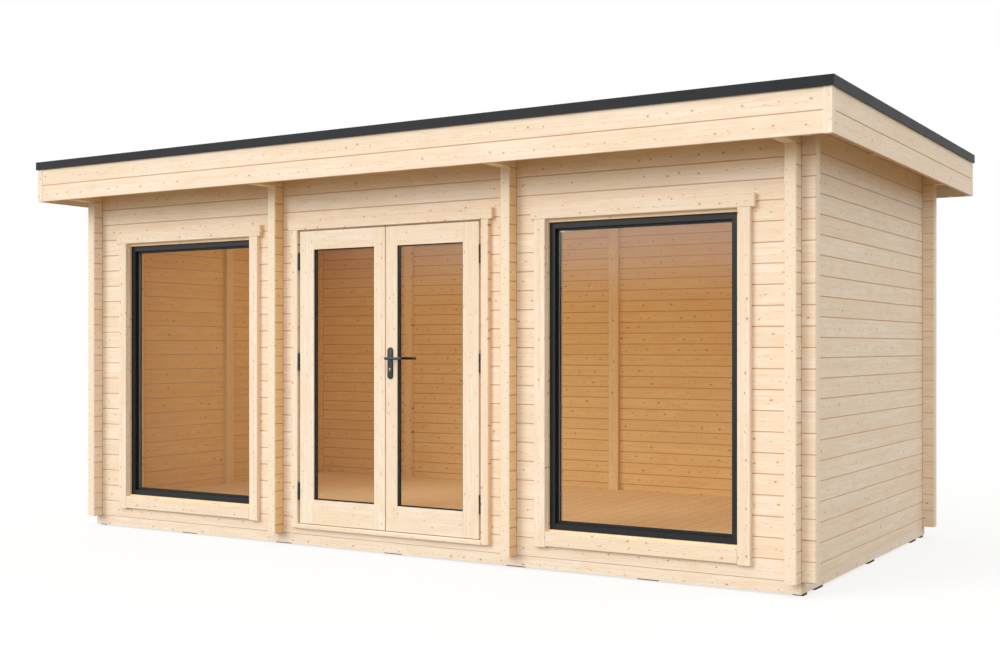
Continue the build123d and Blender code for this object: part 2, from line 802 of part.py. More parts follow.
# The fixed halves of the hinges, with their pins
with BuildPart() as frame_hinges:
    for side in (-1, 1):
        axis_x = door_shift + side * hinge_x
        for z in hinge_heights:
            hinge_half(axis_x, side, z - knuckle_gap / 2 - knuckle_height)
            barrel(axis_x, pin_radius, z - knuckle_gap / 2, pin_length)
frame_hinges.part.label = "frame_hinges"
export_step(frame_hinges.part, "parts/frame_hinges.step")

# Rounded handle plates on both faces of the right leaf, with a keyhole
spindle_hole = spindle_size / sqrt(2) + spindle_clearance
plate_z = handle_z - lever_above_plate_middle
keyhole_z = handle_z - keyhole_below_lever
with BuildPart() as handle_plates:
    for y, way in ((leaf_front, 1), (leaf_back, -1)):
        with BuildSketch(Plane.XZ.offset(-y)):
            with Locations((spindle_x, plate_z)):
                SlotOverall(plate_height, plate_width, rotation=90)
            with Locations((spindle_x, handle_z)):
                RegularPolygon(spindle_hole, round_sides, mode=Mode.SUBTRACT)
            with Locations((spindle_x, keyhole_z)):
                Rectangle(keyhole_slot_width, keyhole_slot, mode=Mode.SUBTRACT)
        extrude(amount=way * plate_thickness)
handle_plates.part.label = "handle_plates"
export_step(handle_plates.part, "parts/handle_plates.step")

# Lever on each face, joined by the square spindle through the leaf
lever_y_front = leaf_front - lever_stand_off
lever_y_back = leaf_back + lever_stand_off
with BuildPart() as handle_levers:
    block(
        (spindle_x - spindle_size / 2, lever_y_front, handle_z - spindle_size / 2),
        (spindle_x + spindle_size / 2, lever_y_back, handle_z + spindle_size / 2),
    )
    for lever_y, face, way in (
        (lever_y_front, leaf_front - plate_thickness, -1),
        (lever_y_back, leaf_back + plate_thickness, 1),
    ):
        collar_start = face + way * collar_gap
        with BuildSketch(Plane.XZ.offset(-collar_start)):
            with Locations((spindle_x, handle_z)):
                RegularPolygon(collar_radius, round_sides)
        extrude(amount=-way * abs(lever_y - collar_start))
        with BuildSketch(Plane.YZ.offset(spindle_x - lever_width / 2)) as lever_end:
            with Locations((lever_y + way * lever_thickness / 2, handle_z)):
                Rectangle(lever_thickness, lever_width)
            chamfer(lever_end.vertices(), lever_edge)
        extrude(amount=lever_length)
handle_levers.part.label = "handle_levers"
export_step(handle_levers.part, "parts/handle_levers.step")
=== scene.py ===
import json
import math

import bmesh
import bpy
from mathutils import Matrix, Vector


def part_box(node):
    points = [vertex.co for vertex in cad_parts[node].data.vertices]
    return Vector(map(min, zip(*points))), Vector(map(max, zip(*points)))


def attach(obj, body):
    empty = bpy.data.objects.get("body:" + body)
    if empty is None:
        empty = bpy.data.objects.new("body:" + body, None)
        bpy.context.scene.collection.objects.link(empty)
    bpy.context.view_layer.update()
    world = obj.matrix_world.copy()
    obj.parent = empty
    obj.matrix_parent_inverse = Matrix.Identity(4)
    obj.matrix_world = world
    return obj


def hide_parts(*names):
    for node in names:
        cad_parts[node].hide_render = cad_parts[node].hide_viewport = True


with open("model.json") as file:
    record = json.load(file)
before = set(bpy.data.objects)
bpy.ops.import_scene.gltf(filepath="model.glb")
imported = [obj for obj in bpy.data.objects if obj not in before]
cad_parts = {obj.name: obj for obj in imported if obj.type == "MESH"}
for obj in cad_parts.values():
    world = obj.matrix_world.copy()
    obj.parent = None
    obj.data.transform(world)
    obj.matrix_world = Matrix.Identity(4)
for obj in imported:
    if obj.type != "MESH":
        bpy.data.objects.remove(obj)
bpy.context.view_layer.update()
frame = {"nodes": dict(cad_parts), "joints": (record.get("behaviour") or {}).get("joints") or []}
nodes = frame["nodes"]
print("frame loaded:", len(nodes), "nodes")


# the camera stands where the photo's vanishing points put it

cameraSettings = {
    "place": (5.013, -8.0765, 1.332),
    "turnLeft": 31.66,      # degrees left of straight back
    "focalPixels": 1306.0,  # for a picture as wide as the next value
    "pictureWidth": 1000.0,
    "sensorWidth": 36.0,
    "shiftY": 0.012,
    "farthest": 200.0,
}

cameraData = bpy.data.cameras.new("view")
cameraData.sensor_width = cameraSettings["sensorWidth"]
sensorPixel = cameraSettings["sensorWidth"] / cameraSettings["pictureWidth"]
cameraData.lens = cameraSettings["focalPixels"] * sensorPixel
cameraData.shift_y = cameraSettings["shiftY"]
cameraData.clip_end = cameraSettings["farthest"]
cameraObject = bpy.data.objects.new("view", cameraData)
cameraObject.location = cameraSettings["place"]
cameraObject.rotation_euler = (math.pi / 2, 0.0, math.radians(cameraSettings["turnLeft"]))
bpy.context.scene.collection.objects.link(cameraObject)
bpy.context.scene.camera = cameraObject
bpy.context.scene.view_settings.view_transform = "Standard"
print("camera set")


# shader helpers

class Wire:
    # one socket of a shader tree, which can be added, multiplied and compared like a number
    def __init__(self, tree, socket):
        self.tree = tree
        self.socket = socket

    def node(self, kind, settings, values, out=0):
        made = self.tree.nodes.new(kind)
        for key, value in settings.items():
            setattr(made, key, value)
        for key, value in values.items():
            if isinstance(value, Wire):
                self.tree.links.new(value.socket, made.inputs[key])
            else:
                made.inputs[key].default_value = value
        return Wire(self.tree, made.outputs[out])

    def sum(self, operation, *values):
        return self.node("ShaderNodeMath", {"operation": operation}, dict(enumerate(values)))

    def __add__(self, other):
        return self.sum("ADD", self, other)

    def __sub__(self, other):
        return self.sum("SUBTRACT", self, other)

    def __rsub__(self, other):
        return self.sum("SUBTRACT", other, self)

    def __mul__(self, other):
        return self.sum("MULTIPLY", self, other)

    def __rmul__(self, other):
        return self.sum("MULTIPLY", other, self)

    def __truediv__(self, other):
        return self.sum("DIVIDE", self, other)

    def __gt__(self, other):
        return self.sum("GREATER_THAN", self, other)

    def __lt__(self, other):
        return self.sum("LESS_THAN", self, other)

    def __abs__(self):
        return self.sum("ABSOLUTE", self)

    def floor(self):
        return self.sum("FLOOR", self)

    def root(self):
        return self.sum("SQRT", self)

    def fade(self, low, high):
        # 0 below low and 1 above high, with a smooth step between
        smooth = {"interpolation_type": "SMOOTHSTEP"}
        return self.node("ShaderNodeMapRange", smooth, {0: self, 1: low, 2: high})

    def axes(self):
        return [self.node("ShaderNodeSeparateXYZ", {}, {0: self}, n) for n in range(3)]

    def point(self, x, y, z):
        return self.node("ShaderNodeCombineXYZ", {}, {0: x, 1: y, 2: z})

    def noise(self, vector, scale=1.0, detail=2.0, rough=0.5):
        values = {"Vector": vector, "Scale": scale, "Detail": detail, "Roughness": rough}
        return self.node("ShaderNodeTexNoise", {}, values)

    def dice(self, vector):
        # three random numbers for each whole-numbered cell
        return self.node("ShaderNodeTexWhiteNoise", {}, {"Vector": vector}, 1).axes()

    def tint(self, mask, below, above, way="MIX"):
        settings = {"data_type": "RGBA", "blend_type": way}
        return self.node("ShaderNodeMix", settings, {0: mask, 6: below, 7: above}, 2)

    def bump(self, height, strength, distance):
        values = {"Strength": strength, "Distance": distance, "Height": height}
        return self.node("ShaderNodeBump", {}, values)

    def feed(self, shader, socket):
        self.tree.links.new(self.socket, shader.inputs[socket])


def linear(r, g, b):
    # a colour as a screen shows it, 0 to 255, in the numbers a shader takes
    def curve(v):    # the standard sRGB curve
        return v / 12.92 if v <= 0.04045 else ((v + 0.055) / 1.055) ** 2.4
    return (curve(r / 255.0), curve(g / 255.0), curve(b / 255.0), 1.0)


def newFinish(name):
    # an empty material: itself, its shader and its Object coordinates
    finish = bpy.data.materials.new(name)
    finish.use_nodes = True
    tree = finish.node_tree
    place = tree.nodes.new("ShaderNodeTexCoord")
    return finish, tree.nodes["Principled BSDF"], Wire(tree, place.outputs["Object"])


# planed spruce, cut from a trunk whose pith lies behind the face

woodSettings = {
    "early": (251, 235, 213),
    "pale": (248, 226, 200),
    "warm": (241, 211, 174),
    "sawn": (247, 226, 198),        # a sawn end
    "seam": (198, 142, 84),
    "knot": (128, 84, 44),
    "halo": (226, 184, 136),
    "deep": (252, 234, 200),        # painted shade: what the wood is multiplied by under the eave, on the column sides and in the window linings
    "inner": (249, 231, 190),       # painted shade: what the wood is multiplied by inside the room
    "roughness": 0.60,
    "gloss": 0.30,
}
woodTones = {name: linear(*tone) for name, tone in woodSettings.items() if isinstance(tone, tuple)}

grainSettings = {
    "ringGap": 0.0048,              # metres from one growth ring to the next
    "pithUp": (0.7, 0.15),          # spread and least height of the pith, as shares of a board
    "pithDeep": (0.10, 0.02),       # spread and least depth of the pith, in metres
    "wanderScales": (0.8, 3.7),     # along a board, and from board to board
    "wanderUp": 0.06,
    "wanderDeep": 0.04,
    "rippleScales": (2.2, 24.0, 9.0),
    "ripple": 0.008,
    "darkens": (0.30, 0.88),        # where in a ring the late wood comes, and where it ends
    "pales": (0.90, 1.0),
    "lateTint": 0.34,
    "lateShine": 0.05,
    "streakScales": (1.5, 60.0, 5.0),
    "streakFade": (0.36, 0.66),
    "fibreScales": (8.0, 380.0),
    "fibreFade": (0.48, 0.76),
    "fibreTint": 0.14,
    "fibreRough": 0.12,
    "fibreBump": (0.25, 0.0004),    # strength and height
    "slowScales": (0.7, 2.3),
    "slowFade": (0.35, 0.72),
    "slowTint": 0.26,
    "boardTint": 0.20,              # how much one board may be deeper in tone than another
    "rippleDetail": (1.0, 0.6),     # detail and roughness of each noise
    "streakDetail": (1.0, 0.55),
    "fibreDetail": (0.0, 0.5),
    "boardDraw": 3.0,               # each random draw has its own number
    "slowDraw": 4.0,
}

knotSettings = {
    "gap": 0.125,                   # metres from one pin knot to the next along a board
    "rowPlace": (0.20, 0.40),       # spread and least height of a row of knots in its board
    "strayAlong": 0.7,
    "strayUp": 0.016,
    "size": (0.0028, 0.0015),       # spread and least radius
    "stretch": 0.45,                # below 1 a knot is longer along the board
    "chosen": (0.66, 0.70),
    "coreFade": (0.55, 1.15),
    "coreTint": (0.20, 0.75),       # what the room adds, and what a knot has everywhere
    "haloFade": (1.0, 3.2),
    "haloTint": (0.25, 0.45),
    "rowDraw": 9.0,
    "rowShift": 5.0,                # how many knots one row may be shifted against another
}

dashSettings = {
    "perMetre": 21.0,
    "rowPlace": (0.3, 0.35),
    "strayUp": 0.010,
    "lengthFade": (0.08, 0.30),
    "widthFade": (0.0004, 0.0020),
    "chosen": (0.48, 0.52),
    "tint": (0.30, 0.60),
    "draw": 5.0,
    "rowShift": 9.0,
}

endSettings = {
    "speckScale": 45.0,
    "speckFade": (0.40, 0.70),
    "speckTint": 0.30,
    "dotRadius": 0.0032,
    "dotFade": (0.5, 1.2),
    "dotChosen": (0.15, 0.30),
    "dotTint": 0.8,
    "straySide": 0.044,
    "strayUp": 0.5,
    "cover": 0.92,
    "speckDetail": (1.0, 0.6),
    "draw": 31.0,
}

jointSettings = {
    "wide": 0.0048,                 # how far from the joint its shade begins
    "narrow": 0.0008,
    "indoors": 0.0006,
    "tint": (0.25, 0.60),
    "lineTint": 0.55,
    "lineFade": (0.0006, 0.0030),
    "roomPitch": 0.0855,            # height from one joint to the next on the room's back wall
}


roomLow = Vector((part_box("left_wall")[1].x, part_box("front_wall_left")[1].y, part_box("floor_boards")[0].z))
roomHigh = Vector((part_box("right_wall")[0].x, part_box("back_wall")[0].y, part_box("roof_boards")[0].z))


def insideRoom(xyz):
    # mask of the faces that look into the room
    skin = boardSettings["skin"]
    halves = [(high - low) / 2 + skin for low, high in zip(roomLow, roomHigh)]
    middles = [(high + low) / 2 for low, high in zip(roomLow, roomHigh)]
    masks = [abs(v - middle) < half for v, middle, half in zip(xyz, middles, halves)]
    return masks[0] * masks[1] * masks[2]


def timber(name, along, up, base=0.0, pitch=0.114, seed=0.0, seams=False, knots=1.0, rings=1.0, depth=1.0,
           ends=None, turn=None, row=None, crossingShade=None, shadeMask=None, room=1.0, roomPitch=None):
    # along and up are the axes of the grain and of the face; base and pitch say where boards begin
    # turn gives a mask and the two axes of the boards that lie another way
    # ends gives a mask of the sawn ends, and the distance across them
    # crossings gives painted shade: fine dark lines where other logs meet the face
    # sheltered says where painted shade deepens the wood, and room how much painted shade deepens the faces
    # inside the room
    grain, knot, dash, joint = grainSettings, knotSettings, dashSettings, jointSettings
    finish, shader, place = newFinish(name)
    xyz = place.axes()
    indoors = insideRoom(xyz) if room else 0.0
    if roomPitch:
        pitch = indoors * (roomPitch - pitch) + pitch
    run, rise, deep = xyz[along], xyz[up], xyz[3 - along - up]
    if turn:
        mask, turnAlong, turnUp = turn
        mask = mask(xyz)
        other = [xyz[turnAlong], xyz[turnUp], xyz[3 - turnAlong - turnUp]]
        still = 1.0 - mask
        run, rise, deep = [a * still + b * mask for a, b in zip((run, rise, deep), other)]
    step = (rise - base) / pitch
    board = step.floor()
    inBoard = (step - board) * pitch
    seedX, seedY, seedZ = place.dice(place.point(board, seed, grain["boardDraw"]))

    def drift(scales, offset, detail=0.0, rough=0.5):
        # noise that runs slowly along the boards and anew on each
        return place.noise(place.point(run * scales[0], board * scales[1], offset), 1.0, detail, rough)

    def threads(scales, detail, rough):
        # noise drawn out along the grain, and anew on each board where a third scale is given
        height = rise * scales[1] + board * scales[2] if len(scales) > 2 else rise * scales[1]
        return place.noise(place.point(run * scales[0], height, deep * scales[1]), 1.0, detail, rough)

    # growth rings round a pith that wanders behind the face
    wander = drift(grain["wanderScales"], seed) - 0.5
    spread, least = grain["pithUp"]
    pithUp = inBoard - seedX * (spread * pitch) - least * pitch + wander * grain["wanderUp"]
    spread, least = grain["pithDeep"]
    pithDeep = deep - seedY * spread - least + wander * grain["wanderDeep"]
    reach = (pithUp * pithUp + pithDeep * pithDeep).root()
    ripple = threads(grain["rippleScales"], *grain["rippleDetail"])
    phase = (reach + ripple * grain["ripple"]) / grain["ringGap"]
    ring = phase - phase.floor()
    late = ring.fade(*grain["darkens"]) * (1.0 - ring.fade(*grain["pales"]))

    streak = threads(grain["streakScales"], *grain["streakDetail"])
    fibre = threads(grain["fibreScales"], *grain["fibreDetail"])
    slow = drift(grain["slowScales"], seed + grain["slowDraw"])

    colour = place.tint(streak.fade(*grain["streakFade"]), woodTones["early"], woodTones["pale"])
    colour = place.tint(late * (grain["lateTint"] * rings), colour, woodTones["warm"])
    patches = slow.fade(*grain["slowFade"]) * grain["slowTint"] + seedZ * grain["boardTint"]
    colour = place.tint(patches, colour, woodTones["warm"])
    colour = place.tint(fibre.fade(*grain["fibreFade"]) * grain["fibreTint"], colour, woodTones["seam"])

    # pin knots, and short dark dashes, in a loose row along each board
    rowPitch = row or pitch
    rowStep = (rise - base) / rowPitch
    rowIndex = rowStep.floor()
    inRow = (rowStep - rowIndex) * rowPitch
    rowX, rowY, rowZ = place.dice(place.point(rowIndex, seed, knot["rowDraw"]))
    knotRun = run / knot["gap"] + rowY * knot["rowShift"]
    cell = knotRun.floor()
    pickX, pickY, pickZ = place.dice(place.point(cell, rowIndex, seed))
    near = (knotRun - cell - 0.5 - (pickX - 0.5) * knot["strayAlong"]) * knot["gap"]
    spread, least = knot["rowPlace"]
    off = inRow - rowX * (spread * rowPitch) - least * rowPitch - (pickY - 0.5) * knot["strayUp"]
    spread, least = knot["size"]
    size = pickZ * pickZ * spread + least
    away = (near * near * knot["stretch"] + off * off).root() / size
    present = (pickX + pickZ).fade(*knot["chosen"])
    core = (1.0 - away.fade(*knot["coreFade"])) * present
    halo = (1.0 - away.fade(*knot["haloFade"])) * present
    dashRun = run * dash["perMetre"] + rowX * dash["rowShift"]
    dashCell = dashRun.floor()
    dashX, dashY = place.dice(place.point(dashCell, rowIndex, seed + dash["draw"]))[:2]
    spread, least = dash["rowPlace"]
    dashOff = abs(inRow - rowZ * (spread * rowPitch) - least * rowPitch - (dashY - 0.5) * dash["strayUp"])
    dashLong = 1.0 - abs(dashRun - dashCell - 0.5).fade(*dash["lengthFade"])
    short = (1.0 - dashOff.fade(*dash["widthFade"])) * dashLong * dashX.fade(*dash["chosen"])
    for mark, tints, tone in ((halo, knot["haloTint"], "halo"), (short, dash["tint"], "seam"),
                              (core, knot["coreTint"], "knot")):
        colour = place.tint(mark * (indoors * tints[0] + tints[1] * knots), colour, woodTones[tone])

    if ends:
        endMask, across = ends
        endMask = endMask(xyz)
        speck = place.noise(place, endSettings["speckScale"], *endSettings["speckDetail"])
        specks = speck.fade(*endSettings["speckFade"]) * endSettings["speckTint"]
        plain = place.tint(specks, woodTones["sawn"], woodTones["warm"])
        dotStep = (rise - base) / (0.5 * pitch)
        dotRow = dotStep.floor()
        dotX, dotY, dotZ = place.dice(place.point(dotRow, seed, endSettings["draw"]))
        dotSide = across(xyz) - (dotX - 0.5) * endSettings["straySide"]
        dotUp = (dotStep - dotRow - 0.5 - (dotY - 0.5) * endSettings["strayUp"]) * (0.5 * pitch)
        dotAway = (dotSide * dotSide + dotUp * dotUp).root() / endSettings["dotRadius"]
        dot = 1.0 - dotAway.fade(*endSettings["dotFade"])
        dots = dot * dotZ.fade(*endSettings["dotChosen"]) * endSettings["dotTint"]
        plain = place.tint(dots, plain, woodTones["knot"])
        colour = place.tint(endMask * endSettings["cover"], colour, plain)
    if seams:
        edge = abs(inBoard - 0.5 * pitch)
        seam = edge.fade(0.5 * pitch - joint["wide"],
                         0.5 * pitch - joint["narrow"] - indoors * joint["indoors"])
        if ends:
            seam = seam * (1.0 - endMask)
        shade = indoors * joint["tint"][0] + joint["tint"][1] * depth
        colour = place.tint(seam * shade, colour, woodTones["seam"])
    # painted shade: thin dark lines where other logs meet the face
    if crossingShade:
        colour = place.tint(crossingShade(xyz) * joint["lineTint"], colour, woodTones["knot"])
    # painted shade: the wood is multiplied by a deeper tone where the mask says
    if shadeMask:
        colour = place.tint(shadeMask(xyz), colour, woodTones["deep"], "MULTIPLY")
    # painted shade: the faces inside the room are multiplied by a deeper tone
    if room:
        colour = place.tint(indoors * room, colour, woodTones["inner"], "MULTIPLY")
    colour.feed(shader, "Base Color")
    rough = fibre * grain["fibreRough"] + woodSettings["roughness"] - late * grain["lateShine"]
    rough.feed(shader, "Roughness")
    shader.inputs["Specular IOR Level"].default_value = woodSettings["gloss"]
    place.bump(fibre, *grain["fibreBump"]).feed(shader, "Normal")
    return finish


def beyond(axis, low, high):
    # mask of everything below low or above high on an axis
    return lambda xyz: (xyz[axis] < low) + (xyz[axis] > high)


def lines(axis, middle, places):
    # mask of thin lines across an axis, at the same distances either side of its middle
    def mask(xyz):
        away = abs(xyz[axis] - middle)
        nearest = abs(away - places[0])
        for place in places[1:]:
            nearest = nearest.sum("MINIMUM", nearest, abs(away - place))
        return 1.0 - nearest.fade(*jointSettings["lineFade"])
    return mask


boardSettings = {
    "logPitch": 0.114,
    "fasciaPitch": 0.118,
    "deckPitch": 0.089,         # roof boards
    "floorPitch": 0.112,
    "sillThick": 0.062,
    "shade": (0.34, 0.12),      # how far below the roof boards the shade begins, and where it is full
    "sliver": 0.0008,           # how far a mask keeps from the edge it follows
    "roofSliver": 0.001,
    "skin": 0.0005,             # how far the mask of the room reaches into its walls
}

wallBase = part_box("front_bottom_log")[0].z
wallLow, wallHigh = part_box("back_wall")
roofLow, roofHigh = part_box("roof_boards")
crossLow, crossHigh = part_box("left_wall")
logPitch = boardSettings["logPitch"]
crossBase = wallBase + logPitch / 2
sliver = boardSettings["sliver"]
roofSliver = boardSettings["roofSliver"]

sideFaces = (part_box("right_wall")[0].x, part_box("right_wall")[1].x)
columnFaces = (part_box("front_column_right")[0].x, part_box("front_column_right")[1].x)
depthMiddle = (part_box("front_bottom_log")[0].y + wallHigh.y) / 2
alongEnds = beyond(0, wallLow.x + sliver, wallHigh.x - sliver)
acrossEnds = beyond(1, crossLow.y + sliver, crossHigh.y - sliver)
columnEnds = beyond(1, crossLow.y + sliver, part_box("front_column_left")[1].y - sliver)
wallLines = lines(1, depthMiddle, (wallLow.y - depthMiddle, wallHigh.y - depthMiddle))

columnMiddle = sum(columnFaces) / 2
sideMiddle = sum(sideFaces) / 2
frontMiddle = (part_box("front_bottom_log")[0].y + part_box("front_bottom_log")[1].y) / 2
backMiddle = (wallLow.y + wallHigh.y) / 2


def eaveShade(xyz):
    # painted shade: the top of the walls, just below the roof boards, is multiplied by a deeper tone that
    # fades out downwards
    begins, full = boardSettings["shade"]
    return xyz[2].fade(roofHigh.z - begins, roofHigh.z - full)


logAlong = timber("log along", 0, 2, wallBase, logPitch, seed=1.0, seams=True, shadeMask=eaveShade,
                  ends=(alongEnds, lambda xyz: xyz[1] - frontMiddle),
                  crossingShade=lines(0, 0.0, sideFaces + columnFaces))
logBack = timber("log at the back", 0, 2, wallBase, logPitch, seed=2.0, seams=True, shadeMask=eaveShade,
                 roomPitch=jointSettings["roomPitch"],
                 ends=(alongEnds, lambda xyz: xyz[1] - backMiddle), crossingShade=lines(0, 0.0, sideFaces))
logAcross = timber("log across", 1, 2, crossBase, logPitch, seed=3.0, seams=True, shadeMask=eaveShade,
                   ends=(acrossEnds, lambda xyz: abs(xyz[0]) - sideMiddle), crossingShade=wallLines)
# painted shade: every face of the columns but the sawn ends is multiplied by a deeper tone
logColumn = timber("column log", 1, 2, crossBase, logPitch, seed=4.0, seams=True, rings=0.7,
                   shadeMask=lambda xyz: 1.0 - columnEnds(xyz),
                   ends=(columnEnds, lambda xyz: abs(xyz[0]) - columnMiddle), crossingShade=wallLines)
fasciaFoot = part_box("fascia_boards")[0].z
fasciaWood = timber("fascia board", 0, 2, fasciaFoot, boardSettings["fasciaPitch"], seed=6.0, seams=True,
                    turn=(beyond(0, roofLow.x + roofSliver, roofHigh.x - roofSliver), 1, 2))
postWood = timber("corner post", 2, 0, pitch=0.4, seed=7.0, row=0.05, knots=0.9)
deckWood = timber("roof board", 1, 0, pitch=boardSettings["deckPitch"], seed=8.0, seams=True)
sheetLow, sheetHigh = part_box("roof_membrane")
kerbWood = timber("kerb board", 0, 2, pitch=0.3, seed=9.0, row=0.06,
                  turn=(beyond(0, sheetLow.x, sheetHigh.x), 1, 2))
sillLow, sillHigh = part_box("sill_beams")
sillThick = boardSettings["sillThick"]
sillWood = timber("sill beam", 0, 2, pitch=0.25, seed=10.0, row=0.065, rings=0.8,
                  turn=(beyond(0, sillLow.x + sillThick, sillHigh.x - sillThick), 1, 2))
joistWood = timber("floor joist", 1, 0, pitch=0.26, seed=11.0, row=0.07)
# room sets how much painted room shade the floor boards and the wall battens take
floorWood = timber("floor board", 1, 0, pitch=boardSettings["floorPitch"], seed=12.0, seams=True, rings=1.6,
                   depth=0.75, room=0.40)
battenWood = timber("wall batten", 2, 0, pitch=0.5, seed=13.0, row=0.06, room=0.65)
purlinWood = timber("purlin", 0, 2, pitch=0.4, seed=14.0, row=0.07)


# boards round the windows and the doors

openingSettings = {
    "casingIn": 0.008,          # how far the upright casings begin outside the window frame
    "casingTop": 0.020,         # where they end above it
    "liningOut": 0.046,         # how far inside the frame's edge the upright linings end
    "liningFoot": 0.018,
    "doorHalf": 0.728,          # from the middle of the doorway to its upright casings
    "headGap": 0.005,           # between the leaves and the head of the frame
    "casingHead": 0.0045,
    "jambHead": 0.0165,
    "leafBoards": 8,
}

linedLow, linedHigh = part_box("right_window_frame")    # the frame fills the opening of the lining
windowMiddle = (linedLow.x + linedHigh.x) / 2
liningHalf = (linedHigh.x - linedLow.x) / 2
windowHalf = liningHalf + openingSettings["casingIn"]
windowTop = linedHigh.z + openingSettings["casingTop"]


def windowUpright(half, low, high):
    # mask of the upright boards of both windows
    return lambda xyz: (abs(abs(xyz[0]) - windowMiddle) > half) * (xyz[2] > low) * (xyz[2] < high)


casingWood = timber("window casing", 0, 2, pitch=0.33, seed=15.0, row=0.05,
                    turn=(windowUpright(windowHalf, 0.0, windowTop - sliver), 2, 0))
liningUpright = windowUpright(liningHalf - openingSettings["liningOut"],
                              linedLow.z + openingSettings["liningFoot"],
                              linedHigh.z - openingSettings["liningFoot"])
# painted shade: the window linings are multiplied by a deeper tone all over, and take no room shade
liningWood = timber("window lining", 0, 2, pitch=0.31, seed=16.0, row=0.05, knots=0.6, room=0.0,
                    shadeMask=lambda xyz: 0.6, turn=(liningUpright, 2, 0))
leftLeafLow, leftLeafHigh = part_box("left_leaf")
rightLeafLow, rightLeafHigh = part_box("right_leaf")
doorMiddle = (leftLeafLow.x + rightLeafHigh.x) / 2
doorHalf = openingSettings["doorHalf"]
headBase = leftLeafHigh.z + openingSettings["headGap"]
casingHead = headBase + openingSettings["casingHead"]
jambHead = headBase - openingSettings["jambHead"]


def doorUpright(xyz):
    # mask of the upright boards of the door casing
    return (abs(xyz[0] - doorMiddle) > doorHalf) * (xyz[2] < casingHead)


doorCasingWood = timber("door casing", 0, 2, pitch=0.37, seed=17.0, row=0.05, turn=(doorUpright, 2, 0))
jambWood = timber("door frame wood", 0, 2, pitch=0.35, seed=18.0, row=0.05, knots=0.6,
                  turn=(lambda xyz: xyz[2] < jambHead, 2, 0))
thresholdWood = timber("threshold wood", 0, 2, pitch=0.30, seed=19.0, row=0.05, knots=0.5)
lightLow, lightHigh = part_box("right_leaf_gaskets")     # the gaskets line the opening of the leaf
lightMiddle = (lightLow + lightHigh) / 2
lightHalf = (lightHigh - lightLow) / 2
lockStile = lightLow.x - rightLeafLow.x


def railMask(xyz):
    # the parts of both leaves above and below the pane, where the grain lies flat
    sideways = abs(abs(xyz[0] - doorMiddle) - (lightMiddle.x - doorMiddle))
    return (sideways < lightHalf.x) * (abs(xyz[2] - lightMiddle.z) > lightHalf.z)


# a whole number of boards lies between where the left leaf's boards begin and its meeting stile
leafStarts = (("left", leftLeafHigh.x - openingSettings["leafBoards"] * lockStile), ("right", rightLeafLow.x))
leafWoods = [timber(side + " leaf wood", 2, 0, start, lockStile, seed=20.0 + start, row=lockStile / 2,
                    knots=0.6, turn=(railMask, 0, 2)) for side, start in leafStarts]
print("timber finishes made")


# other finishes

coatSettings = {
    "driftScale": 3.0,
    "driftFade": (0.35, 0.70),
    "darker": 0.86,             # how much darker the coat is in patches
    "roughDrift": 0.10,
    "bump": (0.15, 0.0003),
    "peelDetail": 2.0,
    "driftDetail": (3.0, 0.6),
}


def coated(name, colour, roughness, grain, metallic=0.0, gloss=0.5):
    # fine powder coat: a little colour drift, an orange-peel surface and dull marks
    finish, shader, place = newFinish(name)
    peel = place.noise(place, grain, coatSettings["peelDetail"])
    drift = place.noise(place, coatSettings["driftScale"], *coatSettings["driftDetail"])
    light = linear(*colour)
    dark = tuple(v * coatSettings["darker"] for v in light[:3]) + (1.0,)
    place.tint(drift.fade(*coatSettings["driftFade"]), light, dark).feed(shader, "Base Color")
    share = coatSettings["roughDrift"]
    (peel * share + drift * share + (roughness - share)).feed(shader, "Roughness")
    shader.inputs["Metallic"].default_value = metallic
    shader.inputs["Specular IOR Level"].default_value = gloss
    place.bump(peel, *coatSettings["bump"]).feed(shader, "Normal")
    return finish


trimMetal = coated("edge trim coat", (24, 26, 31), 0.52, 900.0, gloss=0.22)
frameMetal = coated("window frame coat", (22, 23, 25), 0.42, 900.0, gloss=0.28)
hingeMetal = coated("black hinge coat", (26, 26, 28), 0.38, 1200.0)
lockMetal = coated("lock steel", (168, 160, 146), 0.34, 1500.0, 1.0)
sealRubber = coated("seal rubber", (20, 20, 21), 0.70, 700.0)
padRubber = coated("pad rubber", (46, 44, 42), 0.85, 260.0)
spacerFinish = coated("pane spacer", (50, 55, 62), 0.50, 500.0)
windowSpacer = coated("window pane spacer", (116, 124, 130), 0.45, 500.0)


sheetSettings = {
    "clean": (50, 51, 54),
    "dusty": (88, 87, 84),
    "pit": (30, 30, 32),
    "dustScale": 1.3,
    "dustDetail": (5.0, 0.62),
    "dustFade": (0.42, 0.74),
    "dustTint": 0.5,
    "gritScale": 420.0,
    "gritFade": (0.5, 0.8),
    "gritTint": 0.25,
    "rough": (0.2, 0.68),       # what dust adds, and the clean sheet's own
    "bumpShares": (0.4, 0.6),
    "bump": (0.3, 0.001),
}


def roofSheet():
    # dull rubber sheet with dust that gathers in soft patches
    finish, shader, place = newFinish("roof sheet")
    dust = place.noise(place, sheetSettings["dustScale"], *sheetSettings["dustDetail"])
    grit = place.noise(place, sheetSettings["gritScale"])
    patches = dust.fade(*sheetSettings["dustFade"]) * sheetSettings["dustTint"]
    colour = place.tint(patches, linear(*sheetSettings["clean"]), linear(*sheetSettings["dusty"]))
    pits = grit.fade(*sheetSettings["gritFade"]) * sheetSettings["gritTint"]
    place.tint(pits, colour, linear(*sheetSettings["pit"])).feed(shader, "Base Color")
    added, own = sheetSettings["rough"]
    (dust * added + own).feed(shader, "Roughness")
    gritShare, dustShare = sheetSettings["bumpShares"]
    place.bump(grit * gritShare + dust * dustShare, *sheetSettings["bump"]).feed(shader, "Normal")
    return finish


